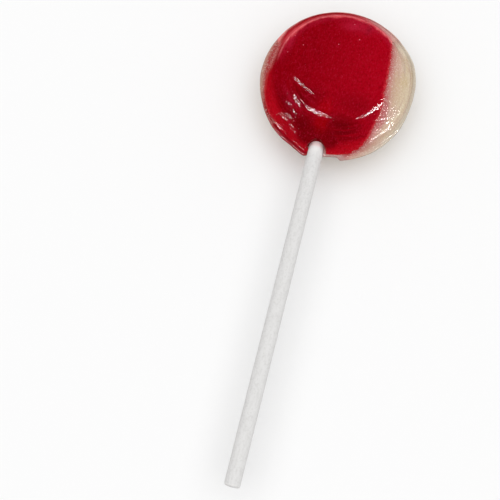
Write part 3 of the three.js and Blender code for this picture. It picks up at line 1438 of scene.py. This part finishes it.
    def wear(self, z: np.ndarray, radius: np.ndarray, clock: np.ndarray) -> np.ndarray:
        """Makes the top of the front fuller and wears the edge of its flat.

        Args:
            z: Heights.
            radius: Their radii.
            clock: Their clock directions.

        Returns:
            The new heights.
        """
        on_front = z > self.wear_height
        upper = within(clock, *self.upper_sector) * on_front
        lower = within(clock, *self.lower_sector) * on_front
        upper_depth, upper_width = self.upper_wear
        lower_depth, lower_width = self.lower_wear
        fuller = np.interp(radius, self.upper_crest, (0, 1, 0))
        z = z + upper * (self.upper_fullness * fuller - upper_depth * self.at_flat_edge(radius, upper_width))
        return z - lower * lower_depth * self.at_flat_edge(radius, lower_width)

    def press(self, points: np.ndarray) -> np.ndarray:
        """Gives the turned blank the uneven rim, folds and dimple of the pressed sugar.

        Args:
            points: Places on the blank, one row each.

        Returns:
            The places on the pressed head.
        """
        x, y, z = points.T
        radius, clock = polar(x, y)
        radius, out_flash = self.spread(radius, clock)
        x = radius * np.sin(np.radians(clock))
        y = radius * np.cos(np.radians(clock))
        x = x + self.face_shift * (1 - ease(radius, *self.shift_radii)) * (z > 0)
        z = self.wear(z, radius, clock)
        from_stick = np.hypot(x - STICK_X, z / self.dimple_height)
        dimple = 1 - ease(from_stick, STICK_RADIUS, STICK_RADIUS + self.dimple_width)
        dimple = dimple * (y < 0) * ease(radius, *self.dimple_radii)
        dimple = dimple * (1 - ease(out_flash, 0, self.dimple_flash))
        y = y + self.dimple_depth * dimple
        for fold in self.folds:
            z = z - fold.depth(x, y) * (points[:, 2] > self.fold_height)
        return np.column_stack([x, y, z])

    def weather(self, points: np.ndarray) -> np.ndarray:
        """Gives how far the set sugar stands out at places, which is not at all on the back's flat."""
        uneven = sum(layer.at(points) for layer in self.unevenness)
        return uneven * ease(points[:, 2], -self.back_depth, -self.back_depth + self.still_height)

    def stick_hole(self) -> bpy.types.Mesh:
        """Makes the hole that the sugar closes round the stick.

        Returns:
            A closed bar along Y, from the stick's inner end outwards.
        """
        radius = STICK_RADIUS + self.grip
        length = STICK_HIGH.y + self.hole_reach
        bm = bmesh.new()
        bmesh.ops.create_cone(
            bm, cap_ends=True, segments=self.hole_sides, radius1=radius, radius2=radius, depth=length,
        )
        lay_along_y(bm, STICK_X, STICK_HIGH.y - length / 2)
        return to_mesh("stick_hole", bm)

    def mark(self, mesh: bpy.types.Mesh) -> None:
        """Stores on each point how far it lies from the seam, towards the rim and out on the flash.

        Args:
            mesh: The sugar, in millimetres.
        """
        places = np.empty(len(mesh.vertices) * 3)
        mesh.vertices.foreach_get("co", places)
        places = places.reshape(-1, 3)
        radius, clock = polar(places[:, 0], places[:, 1])
        base, outer = self.rims(clock)
        marks = (self.seam.distance(places), radius / outer, (radius - base) / (outer - base))
        for name, values in zip(MARKS, marks):
            attribute = mesh.attributes.new(name, "FLOAT", "POINT")
            attribute.data.foreach_set("value", values.astype(np.float32))

    def build(self) -> dict[Sugar, bpy.types.Object]:
        """Presses the head and parts it along the colour seam.

        Returns:
            The two finished pieces, not yet dressed.
        """
        blank = turn_profile(self.profile(), self.step, self.around)
        move_vertices(blank, self.press(places_of(blank)))
        swell(blank, self.weather)
        whole = to_mesh("head", blank)
        red_space = self.seam.red_space(self.step)
        hole = self.stick_hole()
        pieces = {}
        for side, cut in ((Sugar.RED, Cut.INSIDE), (Sugar.CREAM, Cut.OUTSIDE)):
            layer = carve(carve(whole, red_space, cut), hole, Cut.OUTSIDE)
            layer.name = side.value
            self.mark(layer)
            into_frame(layer, self.crease_angle)
            pieces[side] = new_mesh_object(side.value, layer)
        return pieces

    def dress(self, pieces: dict[Sugar, bpy.types.Object]) -> None:
        """Gives the two sugars their materials and their places in the frame."""
        fit_out(pieces[Sugar.RED], self.red.material(), "red_candy")
        fit_out(pieces[Sugar.CREAM], self.cream.material(), "cream_candy")


@dataclass
class PaperStick:
    """The tightly rolled white paper stick.

    Attributes:
        step: The size of its faces along it.
        around: How many faces go round it.
        end_rounding: How far its ends are worn round.
        dents: How uneven the rolled paper is.
        dent_stretch: How much finer the dents are along each axis.
        worn_length: How much of its free end is worn.
        end_wear: How much more uneven it is there.
        crease_angle: Edges sharper than this many degrees stay crisp.
        paper: Its finish.
    """

    step: float = 0.8
    around: int = 64
    end_rounding: float = 0.7
    dents: Ripple = Ripple(0.03, 1.6, 4.0)
    dent_stretch: Triple = (1, 0.25, 1)
    worn_length: float = 2.5
    end_wear: float = 2.5
    crease_angle: float = 60.0
    paper: RolledPaper = RolledPaper()

    def dent(self, points: np.ndarray) -> np.ndarray:
        """Gives how far the paper stands out at places, most unevenly at its worn free end."""
        near_end = 1 - ease(points[:, 1], STICK_LOW.y, STICK_LOW.y + self.worn_length)
        return self.dents.at(points * self.dent_stretch) * (1 + self.end_wear * near_end) - self.dents.height

    def build(self) -> bpy.types.Object:
        """Makes the stick.

        Returns:
            The finished piece, not yet dressed.
        """
        length = STICK_HIGH.y - STICK_LOW.y
        profile = [
            (0, 0),
            (STICK_RADIUS, 0, self.end_rounding),
            (STICK_RADIUS, length, self.end_rounding),
            (0, length),
        ]
        bm = turn_profile(profile, self.step, self.around)
        lay_along_y(bm, STICK_X, STICK_LOW.y)
        bmesh.ops.recalc_face_normals(bm, faces=bm.faces)
        bm.normal_update()
        swell(bm, self.dent)
        mesh = to_mesh("paper_stick", bm)
        into_frame(mesh, self.crease_angle)
        return new_mesh_object("paper_stick", mesh)

    def dress(self, piece: bpy.types.Object) -> None:
        """Gives the stick its material and its place in the frame."""
        fit_out(piece, self.paper.material(), "stick")


def set_up(
    data: bpy.types.ID, clock: float, tilt: float, target: Vector, distance: float,
) -> bpy.types.Object:
    """Sets up a light or a camera that is aimed at a place.

    Args:
        data: The light or the camera.
        clock: The clock direction in which it stands.
        tilt: How far it stands from straight above, in degrees.
        target: The place, in metres.
        distance: How far it stands from there, in metres.

    Returns:
        Its object.
    """
    turn, lean = math.radians(clock), math.radians(tilt)
    back = Vector((math.sin(lean) * math.sin(turn), math.sin(lean) * math.cos(turn), math.cos(lean)))
    made = bpy.data.objects.new(data.name, data)
    made.location = target + back * distance
    made.rotation_euler = back.to_track_quat("Z", "Y").to_euler()
    bpy.context.scene.collection.objects.link(made)
    return made


@dataclass(frozen=True)
class SoftBox:
    """One area light, aimed at the head.

    Attributes:
        name: The light's name.
        clock: The clock direction it shines from.
        tilt: How far it stands from straight above, in degrees.
        distance: How far it stands from the head, in metres.
        width: Its width in metres.
        height: Its height in metres.
        power: Its power in watts.
        gloss_only: True for a light that only makes highlights, False for one that makes none.
    """

    name: str
    clock: float
    tilt: float
    distance: float
    width: float
    height: float
    power: float
    gloss_only: bool

    def build(self) -> None:
        """Makes the light."""
        data = bpy.data.lights.new(self.name, "AREA")
        data.shape = "RECTANGLE"
        data.size = self.width
        data.size_y = self.height
        data.energy = self.power
        light = set_up(data, self.clock, self.tilt, Vector(), self.distance)
        light.visible_diffuse = not self.gloss_only
        light.visible_glossy = self.gloss_only


@dataclass
class Studio:
    """A pale floor, soft light from all round and the camera.

    Attributes:
        floor_size: The floor's side in metres.
        floor_tone: The floor's colour.
        floor_roughness: How rough it is.
        sky: How much light comes from all round.
        backdrop: How bright the surroundings look beyond the floor.
        lights: The area lights.
        frame_pixels: The width of the camera's frame in pixels.
        focal_pixels: Its focal length in pixels of that frame.
        sensor_width: The width of its sensor in millimetres.
        clip: The nearest and the farthest that it sees, in metres.
        clock: The clock direction in which the camera stands.
        tilt: How far it stands from straight above, in degrees.
        aim: The place on the parting plane at the frame's middle, in millimetres.
        distance: How far the camera stands from that place, in metres.
    """

    floor_size: float = 12.0
    floor_tone: Colour = (0.9, 0.9, 0.9)
    floor_roughness: float = 0.9
    sky: float = 0.62
    backdrop: float = 0.96
    lights: tuple[SoftBox, ...] = (
        SoftBox("overhead", 0, 0, 1.2, 3.0, 3.0, 20.0, gloss_only=False),
        SoftBox("near", 214, 23, 0.6, 0.1, 0.06, 2.4, gloss_only=True),
        SoftBox("left", 231, 39, 0.6, 0.035, 0.05, 0.7, gloss_only=True),
        SoftBox("shoulder", 248, 39, 0.6, 0.04, 0.04, 0.6, gloss_only=True),
        SoftBox("low_left", 230, 84, 0.6, 0.04, 0.02, 0.25, gloss_only=True),
        SoftBox("right", 101, 41, 0.6, 0.11, 0.1, 3.4, gloss_only=True),
        SoftBox("low_right", 111, 86, 0.6, 0.2, 0.05, 3.6, gloss_only=True),
        SoftBox("wall", 93, 80, 0.6, 0.04, 0.035, 0.4, gloss_only=True),
        SoftBox("far", 350, 80, 0.8, 1.1, 0.04, 0.5, gloss_only=True),
    )
    frame_pixels: float = 500.0
    focal_pixels: float = 1121.2
    sensor_width: float = 36.0
    clip: tuple[float, float] = (0.01, 10.0)
    clock: float = 165.93
    tilt: float = 16.0
    aim: tuple[float, float] = (-11.232, -49.382)
    distance: float = 0.28

    def lay_floor(self) -> None:
        """Lays the floor, which shows in no highlight."""
        bm = bmesh.new()
        bmesh.ops.create_grid(bm, x_segments=1, y_segments=1, size=self.floor_size / 2)
        plane = new_mesh_object("floor", to_mesh("floor", bm))
        graph = Graph(bpy.data.materials.new("floor"))
        graph.feed(graph.shader, {
            "Base Color": self.floor_tone,
            "Roughness": self.floor_roughness,
            "Specular IOR Level": 0.0,
        })
        plane.data.materials.append(graph.owner)
        plane.visible_glossy = False

    def light_surroundings(self) -> None:
        """Sets the even light that comes from all round, which makes no highlights."""
        world = bpy.data.worlds.new("surroundings")
        graph = Graph(world, "Background")
        seen = graph.out("ShaderNodeLightPath", {}, {}, "Is Camera Ray")
        inputs = {"Value": seen, "To Min": self.sky, "To Max": self.backdrop}
        strength = graph.out("ShaderNodeMapRange", {}, inputs)
        graph.feed(graph.shader, {"Color": (1, 1, 1), "Strength": strength})
        world.cycles_visibility.glossy = False
        bpy.context.scene.world = world

    def set_camera(self) -> None:
        """Sets up the camera, looking down at the lollipop as in the photograph."""
        data = bpy.data.cameras.new("camera")
        data.sensor_width = self.sensor_width
        data.lens = self.focal_pixels * self.sensor_width / self.frame_pixels
        data.clip_start, data.clip_end = self.clip
        target = Vector((*self.aim, PARTING_HEIGHT)) * MM
        bpy.context.scene.camera = set_up(data, self.clock, self.tilt, target, self.distance)

    def build(self) -> None:
        """Sets up everything that isn't the lollipop."""
        self.set_camera()
        self.lay_floor()
        self.light_surroundings()
        for light in self.lights:
            light.build()
        bpy.context.scene.view_settings.view_transform = "Standard"


def main() -> None:
    """Builds the studio, the pressed head and the stick, and reports each piece."""
    logging.basicConfig(level=logging.INFO, format="%(name)s: %(message)s")
    Studio().build()
    head = PressedHead()
    sugars = head.build()
    head.dress(sugars)
    stick = PaperStick()
    rolled = stick.build()
    stick.dress(rolled)
    for piece in (*sugars.values(), rolled):
        log.info("%s: %d faces", piece.name, len(piece.data.polygons))


if __name__ == "__main__":
    main()
